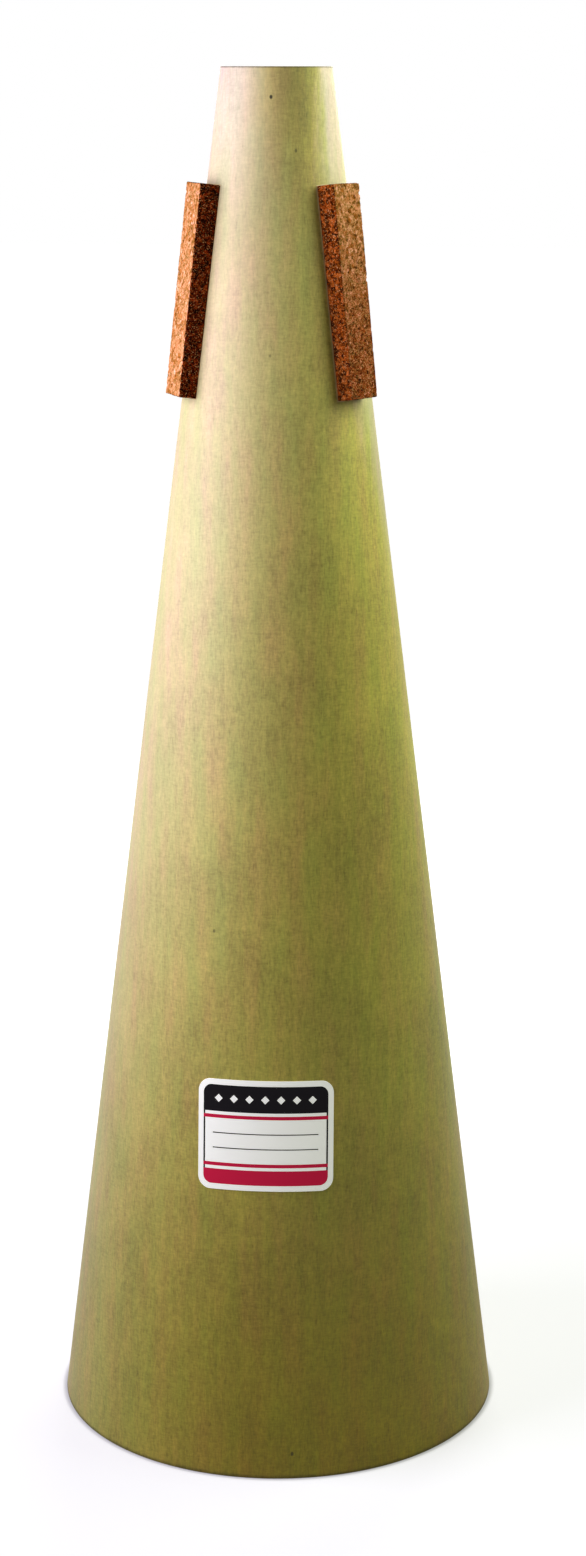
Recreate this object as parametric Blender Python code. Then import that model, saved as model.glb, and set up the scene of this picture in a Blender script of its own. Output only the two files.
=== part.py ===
"""Straight mute for a bass trombone: a birch plywood cone with three cork strips.

The cone is one sheet rolled round a tapered former, so its long edges meet in a butt seam,
which a strap closes inside. The wide end is shut by an inset disc, which bears on a bent
hoop, and the narrow end is open. Three cork strips hold the mute in the instrument's bell.

Metres, +Z up. The origin is the centre of the rim that the mute stands on. An azimuth is
measured round +Z from the front, which is -Y, and grows towards +X.
"""

import math

import bmesh
import bpy
from mathutils import Matrix, Vector

# The cone, measured outside
HEIGHT = 0.420
BASE_DIAMETER = 0.139
MOUTH_DIAMETER = 0.033
WALL = 0.0015
RIM_EASING = 0.0002

# The seam of the rolled sheet, between two corks, and the strap glued over it inside
SEAM_AZIMUTH = math.radians(240)
SEAM_GAP = 0.0003
STRAP_WIDTH = 0.012
STRAP_THICKNESS = 0.0008
STRAP_BELOW_MOUTH = 0.003

# The disc that shuts the wide end, and the hoop that it bears on
DISC_THICKNESS = 0.004
DISC_RECESS = 0.0015
DISC_EASING = 0.0003
HOOP_HEIGHT = 0.009
HOOP_THICKNESS = 0.003
HOOP_EASING = 0.0006
HOOP_JOINT_AZIMUTH = math.radians(20)
HOOP_JOINT_LEAN = math.radians(60)
HOOP_JOINT_GAP = 0.0003

# The cork strips, thicker at the mouth end, because a bell's throat tapers less than the cone
CORK_PLACES = ("right", "rear", "left")
CORK_FIRST_AZIMUTH = math.radians(60)
CORK_WIDTH = 0.0123
CORK_LENGTH = 0.0626
CORK_THICKNESS_AT_MOUTH_END = 0.0052
CORK_THICKNESS_AT_BASE_END = 0.0047
CORK_BELOW_MOUTH = 0.034
CORK_EASING = 0.0002

# The plain label near the base, stuck on by hand a little to the right of the front
LABEL_WIDTH = 0.042
LABEL_HEIGHT = 0.034
LABEL_CORNER_RADIUS = 0.004
LABEL_THICKNESS = 0.0002
LABEL_CENTRE_HEIGHT = 0.1065
LABEL_AZIMUTH = math.radians(5)

# The glue line between two pieces, which also keeps their solids apart
GLUE_LINE = 0.0003

# Facets. Those of the turned pieces line up, so a glue line is as wide all the way round
FACETS = 120
STRAP_COLUMNS = 8
STRAP_ROWS = 12
LABEL_COLUMNS = 16
LABEL_CORNER_STEPS = 5
SMOOTH_ANGLE = math.radians(25)

BASE_RADIUS = BASE_DIAMETER / 2
MOUTH_RADIUS = MOUTH_DIAMETER / 2
HALF_ANGLE = math.atan((BASE_RADIUS - MOUTH_RADIUS) / HEIGHT)
SLANT_LENGTH = HEIGHT / math.cos(HALF_ANGLE)
HOOP_FOOT = DISC_RECESS + DISC_THICKNESS + GLUE_LINE
HOOP_HEAD = HOOP_FOOT + HOOP_HEIGHT
INSIDE_LIFT = -(WALL + GLUE_LINE)

# Finishes: a name, a linear colour and a roughness
FACE_VENEER = ("birch_face_veneer", (0.60, 0.48, 0.26), 0.45)
DISC_PLYWOOD = ("birch_disc_plywood", (0.58, 0.46, 0.27), 0.55)
STRAP_VENEER = ("strap_veneer", (0.56, 0.43, 0.24), 0.60)
BENT_ASH = ("bent_ash", (0.48, 0.34, 0.18), 0.60)
CORK = ("agglomerated_cork", (0.40, 0.18, 0.07), 0.85)
PRINTED_PAPER = ("label_paper", (0.82, 0.80, 0.75), 0.40)


def clear_scene():
    """Removes what Blender starts with."""
    for obj in list(bpy.data.objects):
        bpy.data.objects.remove(obj, do_unlink=True)


def material(finish):
    """The Principled material of a finish, made the first time that it is asked for."""
    name, colour, roughness = finish
    found = bpy.data.materials.get(name)
    if found:
        return found
    made = bpy.data.materials.new(name)
    made.use_nodes = True
    shader = made.node_tree.nodes["Principled BSDF"]
    shader.inputs["Base Color"].default_value = (*colour, 1.0)
    shader.inputs["Roughness"].default_value = roughness
    shader.inputs["Metallic"].default_value = 0.0
    return made


def add_object(name, bm, finish=None):
    """Puts a bmesh into the scene as an object, shaded smooth, with its material."""
    mesh = bpy.data.meshes.new(name)
    bm.to_mesh(mesh)
    bm.free()
    mesh.shade_smooth()
    mesh.set_sharp_from_angle(angle=SMOOTH_ANGLE)
    if finish:
        mesh.materials.append(material(finish))
    obj = bpy.data.objects.new(name, mesh)
    bpy.context.scene.collection.objects.link(obj)
    return obj


def add_cutter(name, bm):
    """A helper for Booleans, which isn't part of the mute."""
    obj = add_object(name, bm)
    obj.hide_render = True
    obj.display_type = "WIRE"
    return obj


def cut(obj, cutter):
    """Cuts one object with another by a live Boolean."""
    boolean = obj.modifiers.new("cut_" + cutter.name, "BOOLEAN")
    boolean.operation = "DIFFERENCE"
    boolean.object = cutter


def outward(azimuth):
    """The level unit vector that points away from the axis at this azimuth."""
    return Vector((math.sin(azimuth), -math.cos(azimuth), 0))


def surface_radius(height, lift=0.0):
    """The radius at this height of the cone's outside, or of a surface parallel to it."""
    return BASE_RADIUS - height * math.tan(HALF_ANGLE) + lift / math.cos(HALF_ANGLE)


def wrap(across, along, azimuth, lift):
    """The place on the cone of a point of a flat sheet that is wrapped round it.

    across and along are measured on the flat sheet, from the point of the rim at azimuth.
    lift is the distance out from the cone's outside, along its normal.
    """
    to_apex = surface_radius(0, lift) / math.sin(HALF_ANGLE)
    slant = math.hypot(across, to_apex - along)
    turn = math.atan2(across, to_apex - along) / math.sin(HALF_ANGLE)
    place = outward(azimuth + turn) * slant * math.sin(HALF_ANGLE)
    place.z = (to_apex - slant) * math.cos(HALF_ANGLE)
    return place


def eased_profile(corners, easing):
    """A closed profile with a chamfer in place of each corner that is off the axis."""
    profile = []
    for i, corner in enumerate(corners):
        here = Vector(corner)
        if here.x == 0:
            profile.append(here)
            continue
        for neighbour in (corners[i - 1], corners[(i + 1) % len(corners)]):
            profile.append(here + (Vector(neighbour) - here).normalized() * easing)
    return profile


def revolved(profile):
    """A solid of revolution about +Z, from a closed profile of (radius, height) points."""
    bm = bmesh.new()
    points = [bm.verts.new((radius, 0, height)) for radius, height in profile]
    edges = [bm.edges.new((points[i - 1], points[i])) for i in range(len(points))]
    bmesh.ops.spin(bm, geom=points + edges, axis=(0, 0, 1), cent=(0, 0, 0),
                   steps=FACETS, angle=math.tau, use_merge=True)
    bmesh.ops.remove_doubles(bm, verts=bm.verts, dist=1e-6)
    bmesh.ops.recalc_face_normals(bm, faces=bm.faces)
    return bm


def ring_corners(foot, head, lift, thickness):
    """The profile of a tapered ring whose outside lies parallel to the cone's."""
    return [
        (surface_radius(foot, lift), foot),
        (surface_radius(head, lift), head),
        (surface_radius(head, lift - thickness), head),
        (surface_radius(foot, lift - thickness), foot),
    ]


def box(size, centre=(0, 0, 0)):
    """An upright box, as a bmesh."""
    bm = bmesh.new()
    placed = Matrix.Translation(centre) @ Matrix.Diagonal((*size, 1))
    bmesh.ops.create_cube(bm, size=1, matrix=placed)
    return bm


def wrapped_sheet(name, rows, columns, azimuth, lift, thickness, finish):
    """A thin sheet wrapped on the cone, from rows of (distance up the slant, half width).

    A positive thickness grows away from the axis, and a negative one towards it.
    """
    bm = bmesh.new()
    grid = [
        [
            bm.verts.new(wrap(half * (2 * i / columns - 1), along, azimuth, lift))
            for i in range(columns + 1)
        ]
        for along, half in rows
    ]
    for lower, upper in zip(grid, grid[1:]):
        for i in range(columns):
            bm.faces.new((lower[i], lower[i + 1], upper[i + 1], upper[i]))
    obj = add_object(name, bm, finish)
    shell = obj.modifiers.new("thickness", "SOLIDIFY")
    shell.thickness = abs(thickness)
    shell.offset = math.copysign(1, thickness)
    shell.use_even_offset = True
    return obj


def make_cone_wall():
    """The rolled plywood cone, open at both ends, parted at its butt seam."""
    corners = ring_corners(0, HEIGHT, 0, WALL)
    wall = add_object("cone_wall", revolved(eased_profile(corners, RIM_EASING)), FACE_VENEER)
    reach = BASE_RADIUS + WALL
    slot = box((SEAM_GAP, reach, HEIGHT + 2 * WALL), (0, -reach / 2, HEIGHT / 2))
    seam = add_cutter("seam_cutter", slot)
    seam.rotation_euler.z = SEAM_AZIMUTH
    cut(wall, seam)
    return wall


def make_seam_strap():
    """The veneer strap glued over the seam inside, from the hoop to just below the mouth."""
    lowest = (HOOP_HEAD + GLUE_LINE) / math.cos(HALF_ANGLE)
    highest = SLANT_LENGTH - STRAP_BELOW_MOUTH
    rows = [
        (lowest + (highest - lowest) * i / STRAP_ROWS, STRAP_WIDTH / 2)
        for i in range(STRAP_ROWS + 1)
    ]
    return wrapped_sheet("seam_strap", rows, STRAP_COLUMNS, SEAM_AZIMUTH,
                         INSIDE_LIFT, -STRAP_THICKNESS, STRAP_VENEER)


def make_base_hoop():
    """The hoop glued inside the wall above the disc, with a scarf where its ends meet."""
    corners = ring_corners(HOOP_FOOT, HOOP_HEAD, INSIDE_LIFT, HOOP_THICKNESS)
    hoop = add_object("base_hoop", revolved(eased_profile(corners, HOOP_EASING)), BENT_ASH)
    middle_height = (HOOP_FOOT + HOOP_HEAD) / 2
    middle_radius = surface_radius(middle_height, INSIDE_LIFT - HOOP_THICKNESS / 2)
    reach = 2 * HOOP_THICKNESS / math.cos(HOOP_JOINT_LEAN)
    scarf = add_cutter("scarf_cutter", box((HOOP_JOINT_GAP, reach, 2 * HOOP_HEIGHT)))
    scarf.location = outward(HOOP_JOINT_AZIMUTH) * middle_radius
    scarf.location.z = middle_height
    scarf.rotation_euler.z = HOOP_JOINT_AZIMUTH + HOOP_JOINT_LEAN
    cut(hoop, scarf)
    return hoop


def make_base_disc():
    """The plywood disc let into the wide end, its edge bevelled to the wall's taper."""
    upper_face = DISC_RECESS + DISC_THICKNESS
    corners = [
        (0, DISC_RECESS),
        (surface_radius(DISC_RECESS, INSIDE_LIFT), DISC_RECESS),
        (surface_radius(upper_face, INSIDE_LIFT), upper_face),
        (0, upper_face),
    ]
    return add_object("base_disc", revolved(eased_profile(corners, DISC_EASING)), DISC_PLYWOOD)


def cork_bar():
    """A straight cork bar, with +Y up the cone's slant and z = 0 on the cone's outside.

    Its underside is left too deep, for the saddle to be cut from it.
    """
    bm = box((CORK_WIDTH, CORK_LENGTH, 1))
    for vert in bm.verts:
        at_mouth_end = vert.co.y > 0
        thickness = CORK_THICKNESS_AT_MOUTH_END if at_mouth_end else CORK_THICKNESS_AT_BASE_END
        vert.co.z = thickness + GLUE_LINE if vert.co.z > 0 else -CORK_WIDTH / 2
    bmesh.ops.bevel(bm, geom=bm.edges, offset=CORK_EASING, segments=1, affect="EDGES")
    return bm


def make_cork_strips():
    """The cork strips, each saddled so that it follows the wall."""
    cone = [
        (0, 0),
        (surface_radius(0, GLUE_LINE), 0),
        (surface_radius(HEIGHT, GLUE_LINE), HEIGHT),
        (0, HEIGHT),
    ]
    saddle = add_cutter("saddle_cutter", revolved(cone))
    middle = SLANT_LENGTH - CORK_BELOW_MOUTH - CORK_LENGTH / 2
    strips = []
    for i, place in enumerate(CORK_PLACES):
        azimuth = CORK_FIRST_AZIMUTH + i * math.tau / len(CORK_PLACES)
        strip = add_object("cork_strip_" + place, cork_bar(), CORK)
        strip.location = wrap(0, middle, azimuth, 0)
        strip.rotation_euler = (math.pi / 2 - HALF_ANGLE, 0, azimuth)
        cut(strip, saddle)
        strips.append(strip)
    return strips


def make_front_label():
    """The round-cornered label wrapped on the front of the cone near the base."""
    middle = LABEL_CENTRE_HEIGHT / math.cos(HALF_ANGLE)
    corner_rows = []
    for i in range(LABEL_CORNER_STEPS + 1):
        angle = math.pi / 2 * i / LABEL_CORNER_STEPS
        from_edge = LABEL_CORNER_RADIUS * (1 - math.sin(angle))
        inset = LABEL_CORNER_RADIUS * (1 - math.cos(angle))
        corner_rows.append((LABEL_HEIGHT / 2 - from_edge, LABEL_WIDTH / 2 - inset))
    rows = [(middle - up, half) for up, half in reversed(corner_rows)]
    rows += [(middle + up, half) for up, half in corner_rows]
    return wrapped_sheet("front_label", rows, LABEL_COLUMNS, LABEL_AZIMUTH,
                         GLUE_LINE, LABEL_THICKNESS, PRINTED_PAPER)


def main():
    """Builds the mute."""
    clear_scene()
    pieces = [make_cone_wall(), make_seam_strap(), make_base_hoop(), make_base_disc()]
    pieces += make_cork_strips()
    pieces.append(make_front_label())
    mute = bpy.data.objects.new("mute", None)
    bpy.context.scene.collection.objects.link(mute)
    for piece in pieces:
        piece.parent = mute


main()
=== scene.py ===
"""The looks of a straight mute for a bass trombone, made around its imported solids.

The mute is one sheet of birch plywood rolled to a cone, with three granulated cork strips near
the mouth, a blank printed label near the base, and a plywood disc on a bent hoop in the wide end.

Metres, +Z up. The origin is the centre of the rim that the mute stands on. An azimuth is measured
round +Z from the front, which is -Y, and grows towards +X. A place on the flat sheet, before it
is rolled, is given as across and along: along runs up the grain, from the wide end.
"""
import logging
import math
from dataclasses import dataclass, field, fields
from enum import Enum
from typing import Any, Callable

import bmesh
import bpy
from mathutils import Euler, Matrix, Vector


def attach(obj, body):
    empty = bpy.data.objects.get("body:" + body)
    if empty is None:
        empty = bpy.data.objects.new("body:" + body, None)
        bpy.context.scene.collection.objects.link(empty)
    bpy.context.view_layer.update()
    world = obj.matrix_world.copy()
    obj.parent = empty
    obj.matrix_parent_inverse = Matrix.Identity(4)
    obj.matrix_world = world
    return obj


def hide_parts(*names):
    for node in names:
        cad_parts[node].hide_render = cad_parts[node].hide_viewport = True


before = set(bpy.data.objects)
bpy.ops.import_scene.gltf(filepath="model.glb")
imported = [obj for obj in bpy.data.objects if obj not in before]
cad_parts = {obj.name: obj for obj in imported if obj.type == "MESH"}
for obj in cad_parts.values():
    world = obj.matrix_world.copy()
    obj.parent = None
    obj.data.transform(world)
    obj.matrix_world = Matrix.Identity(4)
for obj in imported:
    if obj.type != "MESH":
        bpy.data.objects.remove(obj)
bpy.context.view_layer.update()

LOG = logging.getLogger("mute")
BODY = "root"
MM = 0.001
SHARP_ANGLE = math.radians(50)

Colour = tuple[float, float, float]
UNTINTED: Colour = (1.0, 1.0, 1.0)


def reckoning(operation: str, swapped: bool = False) -> Callable[..., "Field"]:
    """Makes a method of Field for one operation.

    Args:
        operation: Blender's name of the operation.
        swapped: Whether the Field is the last term, as it is after a plain number.

    Returns:
        The method, which adds a Math node.
    """
    def reckon(this: "Field", *others: "Term") -> "Field":
        """The result of the operation."""
        return this.graph.math(operation, *((*others, this) if swapped else (this, *others)))

    return reckon


class Field:
    """One output of a node, which can be reckoned with like a number.

    Each sign of arithmetic adds a Math node, so that a formula reads as it would on paper.
    """

    __add__ = reckoning("ADD")
    __radd__ = reckoning("ADD", swapped=True)
    __sub__ = reckoning("SUBTRACT")
    __rsub__ = reckoning("SUBTRACT", swapped=True)
    __mul__ = reckoning("MULTIPLY")
    __rmul__ = reckoning("MULTIPLY", swapped=True)
    __truediv__ = reckoning("DIVIDE")
    __rtruediv__ = reckoning("DIVIDE", swapped=True)
    __abs__ = reckoning("ABSOLUTE")
    at_least = reckoning("MAXIMUM")
    at_most = reckoning("MINIMUM")
    power = reckoning("POWER")
    root = reckoning("SQRT")
    sine = reckoning("SINE")
    cosine = reckoning("COSINE")
    tangent = reckoning("TANGENT")
    nearest = reckoning("ROUND")
    sign = reckoning("SIGN")
    above = reckoning("GREATER_THAN")
    below = reckoning("LESS_THAN")

    def __init__(self, graph: "Graph", socket: bpy.types.NodeSocket) -> None:
        """Keeps the socket and the graph that it belongs to."""
        self.graph = graph
        self.socket = socket

    def __neg__(self) -> "Field":
        """The same with the other sign."""
        return self * -1.0

    def step(self, low: float, high: float) -> "Field":
        """A smooth step: 0 up to low, 1 from high. With low above high it falls instead."""
        rising = low < high
        return self.graph.out(self.graph.node(
            "ShaderNodeMapRange",
            {"interpolation_type": "SMOOTHSTEP"},
            {
                "Value": self,
                "From Min": min(low, high),
                "From Max": max(low, high),
                "To Min": 0.0 if rising else 1.0,
                "To Max": 1.0 if rising else 0.0,
            },
        ))


Term = Field | float


class Graph:
    """A node tree that is written as calls, each of which adds one node."""

    def __init__(self, tree: bpy.types.NodeTree) -> None:
        """Keeps the tree."""
        self.tree = tree

    def node(self, kind: str, settings: dict[str, Any] | None = None,
             inputs: dict[str | int, Any] | None = None) -> bpy.types.Node:
        """Adds a node.

        Args:
            kind: Blender's name of the node's type.
            settings: Its properties, by name.
            inputs: A value or a Field for each input that isn't left alone, by name or place.

        Returns:
            The new node.
        """
        made = self.tree.nodes.new(kind)
        for name, value in (settings or {}).items():
            setattr(made, name, value)
        for key, value in (inputs or {}).items():
            self.feed(made.inputs[key], value)
        return made

    def feed(self, socket: bpy.types.NodeSocket, value: Any) -> None:
        """Links a Field to an input, or sets a plain value on it.

        Args:
            socket: The input.
            value: The Field or the value.
        """
        if isinstance(value, Field):
            self.tree.links.new(value.socket, socket)
        else:
            socket.default_value = value

    def out(self, node: bpy.types.Node, key: str | int = 0) -> Field:
        """One output of a node as a Field."""
        return Field(self, node.outputs[key])

    def math(self, operation: str, *terms: Term) -> Field:
        """Reckons with numbers.

        Args:
            operation: Blender's name of the operation.
            terms: One to three terms.

        Returns:
            The result.
        """
        settings = {"operation": operation}
        return self.out(self.node("ShaderNodeMath", settings, dict(enumerate(terms))))

    def vector_math(self, operation: str, *terms: Any) -> Field:
        """Reckons with vectors and gives a vector."""
        node = self.node("ShaderNodeVectorMath", {"operation": operation}, dict(enumerate(terms)))
        return self.out(node, "Vector")

    def vector(self, x: Term, y: Term, z: Term = 0.0) -> Field:
        """A vector from its three parts."""
        return self.out(self.node("ShaderNodeCombineXYZ", {}, {"X": x, "Y": y, "Z": z}))

    def parts(self, vector: Field) -> tuple[Field, Field, Field]:
        """The three parts of a vector."""
        node = self.node("ShaderNodeSeparateXYZ", {}, {0: vector})
        return self.out(node, 0), self.out(node, 1), self.out(node, 2)

    def scaled(self, vector: Any, factor: Term) -> Field:
        """A vector or a colour times a number."""
        inputs = {0: vector, "Scale": factor}
        return self.out(self.node("ShaderNodeVectorMath", {"operation": "SCALE"}, inputs), "Vector")

    def dyed(self, colour: Field, tint: Field) -> Field:
        """A colour times a tint."""
        return self.vector_math("MULTIPLY", colour, tint)

    def blend(self, share: Term, first: Any, second: Any) -> Field:
        """A mix of two colours.

        Args:
            share: The second colour's share, from 0 to 1.
            first: A colour or a Field.
            second: A colour or a Field.

        Returns:
            The mixed colour.
        """
        node = self.node("ShaderNodeMix", {"data_type": "RGBA"})
        self.feed(node.inputs[0], share)
        for place, colour in ((6, first), (7, second)):
            self.feed(node.inputs[place], colour if isinstance(colour, Field) else (*colour, 1.0))
        return self.out(node, 2)

    def noise(self, place: Field, scale: float = 1.0, detail: float = 2.0,
              roughness: float = 0.5) -> Field:
        """Smooth noise about 0.5.

        Args:
            place: Where it is read.
            scale: How many features go to a unit of place.
            detail: How many finer layers it has.
            roughness: How strong the finer layers are.

        Returns:
            The noise's value.
        """
        node = self.node(
            "ShaderNodeTexNoise",
            {"noise_dimensions": "3D"},
            {"Vector": place, "Scale": scale, "Detail": detail, "Roughness": roughness},
        )
        return self.out(node, 0)

    def cells(self, place: Field, feature: str, output: str) -> Field:
        """Cells of unit size, each about its own random point.

        Args:
            place: Where they are read.
            feature: F1, or DISTANCE_TO_EDGE.
            output: Distance, or Color for a random colour that is the same all over a cell.

        Returns:
            The output asked for.
        """
        node = self.node(
            "ShaderNodeTexVoronoi",
            {"voronoi_dimensions": "3D", "feature": feature},
            {"Vector": place, "Scale": 1.0},
        )
        return self.out(node, output)


class ShaderGraph(Graph):
    """The node tree of a material that ends in one Principled shader."""

    def __init__(self, name: str) -> None:
        """Makes the material with an empty tree."""
        self.material = bpy.data.materials.new(name)
        self.material.use_nodes = True
        super().__init__(self.material.node_tree)
        self.tree.nodes.clear()

    def flat_place(self, uv_map: str) -> tuple[Field, Field]:
        """Across and along on the flat sheet, from the piece's own UV map."""
        node = self.node("ShaderNodeUVMap", {"uv_map": uv_map})
        across, along, _ = self.parts(self.out(node))
        return across, along

    def object_place(self) -> Field:
        """The place in the shared frame."""
        return self.out(self.node("ShaderNodeTexCoord"), "Object")

    def attribute(self, name: str, output: str = "Fac") -> Field:
        """A named attribute of the mesh."""
        return self.out(self.node("ShaderNodeAttribute", {"attribute_name": name}), output)

    def bump(self, height: Field, depth: float, below: Field | None = None) -> Field:
        """Turns a height from 0 to 1 into a bent normal.

        Args:
            height: The height.
            depth: How deep the whole range is.
            below: The normal of a coarser bump that this one lies on.

        Returns:
            The normal.
        """
        inputs: dict[str | int, Any] = {"Strength": 1.0, "Distance": depth, "Height": height}
        if below:
            inputs["Normal"] = below
        return self.out(self.node("ShaderNodeBump", {}, inputs))

    def finish(self, colour: Any, roughness: Term, normal: Field | None = None,
               **even: float) -> bpy.types.Material:
        """Adds the Principled shader and the material's output.

        Args:
            colour: A colour or a Field.
            roughness: A number or a Field.
            normal: The bent normal.
            even: What is the same all over, by the socket's name with _ for its spaces.

        Returns:
            The finished material.
        """
        inputs: dict[str | int, Any] = {"Roughness": roughness}
        inputs["Base Color"] = colour if isinstance(colour, Field) else (*colour, 1.0)
        inputs.update({name.replace("_", " "): value for name, value in even.items()})
        if normal:
            inputs["Normal"] = normal
        shader = self.out(self.node("ShaderNodeBsdfPrincipled", {}, inputs))
        self.node("ShaderNodeOutputMaterial", {}, {"Surface": shader})
        return self.material


class GeometryGraph(Graph):
    """A Geometry Nodes tree with named inputs, which ends in Realize Instances and Set Material."""

    SOCKETS = {
        float: "NodeSocketFloat",
        int: "NodeSocketInt",
        Vector: "NodeSocketVector",
        bpy.types.Material: "NodeSocketMaterial",
    }

    def __init__(self, name: str, values: dict[str, Any]) -> None:
        """Makes the tree.

        Args:
            name: The tree's name.
            values: A value for each input that may be asked for, by name.
        """
        tree = bpy.data.node_groups.new(name, "GeometryNodeTree")
        super().__init__(tree)
        tree.interface.new_socket(
            name="Geometry", in_out="OUTPUT", socket_type="NodeSocketGeometry")
        self.values = values
        self.group_input = self.node("NodeGroupInput")

    def given(self, name: str) -> Field:
        """One of the tree's own inputs, which is added when it is first asked for."""
        if name not in self.group_input.outputs:
            kind = self.SOCKETS[type(self.values[name])]
            self.tree.interface.new_socket(name=name, in_out="INPUT", socket_type=kind)
        return self.out(self.group_input, name)

    def position(self) -> Field:
        """Where each point is."""
        return self.out(self.node("GeometryNodeInputPosition"))

    def normal(self) -> Field:
        """Which way each point faces."""
        return self.out(self.node("GeometryNodeInputNormal"))

    def moved(self, mesh: Field, position: Field | None = None,
              offset: Field | None = None) -> Field:
        """Sets or shifts the points of a mesh."""
        inputs: dict[str | int, Any] = {"Geometry": mesh}
        if position:
            inputs["Position"] = position
        if offset:
            inputs["Offset"] = offset
        return self.out(self.node("GeometryNodeSetPosition", {}, inputs))

    def stored(self, mesh: Field, name: str, kind: str, domain: str, value: Field) -> Field:
        """Keeps a value on the mesh under a name.

        Args:
            mesh: The mesh.
            name: The attribute's name.
            kind: FLOAT, FLOAT2 for a UV map, or FLOAT_VECTOR.
            domain: POINT, EDGE, FACE or CORNER.
            value: What is kept.

        Returns:
            The mesh with the attribute.
        """
        node = self.node(
            "GeometryNodeStoreNamedAttribute",
            {"data_type": kind, "domain": domain},
            {"Geometry": mesh, "Name": name, "Value": value},
        )
        return self.out(node)

    def wrapped(self, across: Field, along: Field, lift: Field) -> Field:
        """The place on the cone of a point of a flat sheet that is wrapped round it.

        It asks for the inputs Base Radius, Half Angle and Azimuth.

        Args:
            across: The distance across the flat sheet from the line at Azimuth.
            along: The distance up that line from the wide end.
            lift: The distance out from the cone's outside.

        Returns:
            The place, as a vector.
        """
        half_angle = self.given("Half Angle")
        sine = half_angle.sine()
        cosine = half_angle.cosine()
        to_apex = (self.given("Base Radius") + lift / cosine) / sine
        rest = to_apex - along
        slant = (across * across + rest * rest).root()
        azimuth = self.given("Azimuth") + self.math("ARCTAN2", across, rest) / sine
        radius = slant * sine
        return self.vector(
            azimuth.sine() * radius,
            -azimuth.cosine() * radius,
            (to_apex - slant) * cosine,
        )

    def kept(self, name: str) -> Field:
        """A number that the mesh keeps under a name."""
        return self.out(self.node(
            "GeometryNodeInputNamedAttribute", {"data_type": "FLOAT"}, {"Name": name}), 0)

    def close(self, mesh: Field, **parts: Field) -> bpy.types.NodeTree:
        """Ends the tree: shaded smooth, instances made real, and the materials set.

        Args:
            mesh: The geometry that it gives.
            parts: Where each further material goes, by the name of its input with _ for a space.

        Returns:
            The finished tree.
        """
        smooth = self.out(self.node("GeometryNodeSetShadeSmooth", {}, {"Geometry": mesh}))
        dressed = self.out(self.node("GeometryNodeRealizeInstances", {}, {"Geometry": smooth}))
        places: dict[str, Any] = {"Material": True}
        places.update({name.replace("_", " "): place for name, place in parts.items()})
        for name, place in places.items():
            dressed = self.out(self.node("GeometryNodeSetMaterial", {}, {
                "Geometry": dressed, "Selection": place, "Material": self.given(name)}))
        self.node("NodeGroupOutput", {}, {"Geometry": dressed})
        return self.tree


def plain_mesh(obj: bpy.types.Object, name: str) -> bpy.types.Mesh:
    """Turns an object with modifiers into a plain mesh.

    Args:
        obj: The object, which is removed.
        name: The new mesh's name.

    Returns:
        The mesh as the modifiers leave it.
    """
    bpy.context.view_layer.update()
    evaluated = obj.evaluated_get(bpy.context.evaluated_depsgraph_get())
    mesh = bpy.data.meshes.new_from_object(evaluated)
    mesh.name = name
    bpy.data.objects.remove(obj, do_unlink=True)
    return mesh


def add_object(name: str, data: bpy.types.ID) -> bpy.types.Object:
    """Puts a mesh, a lamp or a camera into the scene as an object at the origin."""
    obj = bpy.data.objects.new(name, data)
    bpy.context.scene.collection.objects.link(obj)
    return obj


def numbers(part: Any) -> dict[str, Any]:
    """The sizes and counts of a part and of the cone, as inputs for a tree.

    Args:
        part: The part's dataclass.

    Returns:
        Each number by its field's name in words, such as Corner Radius for corner_radius.
    """
    found: dict[str, Any] = {"Half Angle": CONE.half_angle}
    for owner in (CONE, part):
        for own in fields(owner):
            value = getattr(owner, own.name)
            if isinstance(value, (int, float)):
                found[own.name.replace("_", " ").title()] = value
    return found


def grown(name: str, draw: Callable[[GeometryGraph], bpy.types.NodeTree],
          values: dict[str, Any]) -> bpy.types.Mesh:
    """Runs a Geometry Nodes tree and keeps its result as a plain mesh.

    Args:
        name: The mesh's name.
        draw: Fills the tree in, once for all the pieces that it makes.
        values: What each of the tree's inputs is given, by name.

    Returns:
        The mesh.
    """
    label = draw.__name__
    tree = bpy.data.node_groups.get(label) or draw(GeometryGraph(label, values))
    carrier = add_object(name + "_carrier", bpy.data.meshes.new(name + "_carrier"))
    modifier = carrier.modifiers.new("form", "NODES")
    modifier.node_group = tree
    for socket in tree.interface.items_tree:
        if socket.in_out == "INPUT":
            modifier[socket.identifier] = values[socket.name]
    return plain_mesh(carrier, name)


def skinned(name: str, rings: list[list[Vector]], looped: bool = False) -> bpy.types.Mesh:
    """Joins closed rings of points, each to the next, to a smooth skin.

    Args:
        name: The mesh's name.
        rings: The rings, where a single point is a pole.
        looped: Whether the last ring is joined to the first.

    Returns:
        A closed mesh whose faces point outwards.
    """
    bm = bmesh.new()
    count = max(len(ring) for ring in rings)
    made = [[bm.verts.new(point) for point in ring] * (count // len(ring)) for ring in rings]
    for ring, following in zip(made, made[1:] + (made[:1] if looped else [])):
        for i in range(count):
            corners = dict.fromkeys((ring[i - 1], ring[i], following[i], following[i - 1]))
            bm.faces.new(list(corners))
    bmesh.ops.recalc_face_normals(bm, faces=bm.faces)
    mesh = bpy.data.meshes.new(name)
    bm.to_mesh(mesh)
    bm.free()
    mesh.shade_smooth()
    return mesh


def finished(obj: bpy.types.Object, slot: str | None, *nodes: str) -> bpy.types.Object:
    """Hands a piece to the frame.

    Args:
        obj: The piece, at the origin.
        slot: The record's material slot for the piece's finish, if it has one; it is not used.
        nodes: The solids that it stands for.

    Returns:
        The same piece.
    """
    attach(obj, BODY)
    if nodes:
        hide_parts(*nodes)
    LOG.info("%s: %d faces", obj.name, len(obj.data.polygons))
    return obj


def spot(azimuth: float, radius: float = 1.0, height: float = 0.0) -> Vector:
    """The point at this azimuth, this distance from the axis and this height."""
    return Vector((math.sin(azimuth) * radius, -math.cos(azimuth) * radius, height))


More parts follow.
